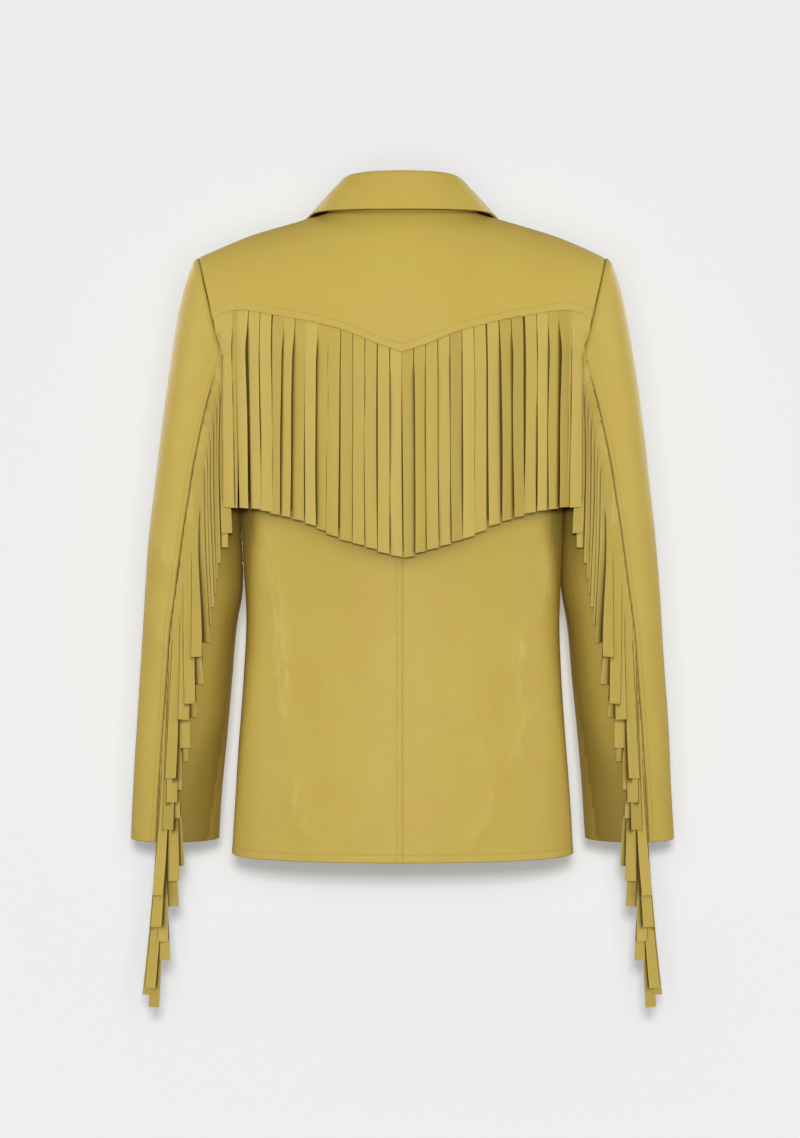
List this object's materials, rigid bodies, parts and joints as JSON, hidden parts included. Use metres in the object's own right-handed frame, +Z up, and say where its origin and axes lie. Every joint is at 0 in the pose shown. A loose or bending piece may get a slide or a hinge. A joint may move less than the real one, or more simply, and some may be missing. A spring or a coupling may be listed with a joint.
{
  "type": "fringed leather blazer",
  "caption": "Filled-out leather blazer with a notched collar, a pointed back yoke with hanging strand fringe, and sleeve seams trimmed with fringe past the cuffs.",
  "frame": {"origin": "midway between the two points where the shoulder seams meet the collar, where the wearer's shoulders and neck carry the garment", "axes": "+Z up along the back's length, +Y out of the garment's back, -Y out of its front, +X towards the wearer's left"},
  "size_m": [0.5704, 0.2434, 0.8602],
  "materials": {
    "leather": "smooth satin leather, mustard yellow",
    "fringe": "cut leather strands, the same hide as the body",
    "button": "polished, tone on tone"
  },
  "bodies": {
    "root": {"back_yoke": "leather", "back_left": "leather", "back_right": "leather", "front_left": "leather", "front_right": "leather", "lapel_left": "leather", "lapel_right": "leather", "collar": "leather", "top_sleeve_left": "leather", "top_sleeve_right": "leather", "under_sleeve_left": "leather", "under_sleeve_right": "leather", "yoke_fringe": "fringe", "sleeve_fringe_left": "fringe", "sleeve_fringe_right": "fringe", "button": "button"}
  },
  "joints": []
}
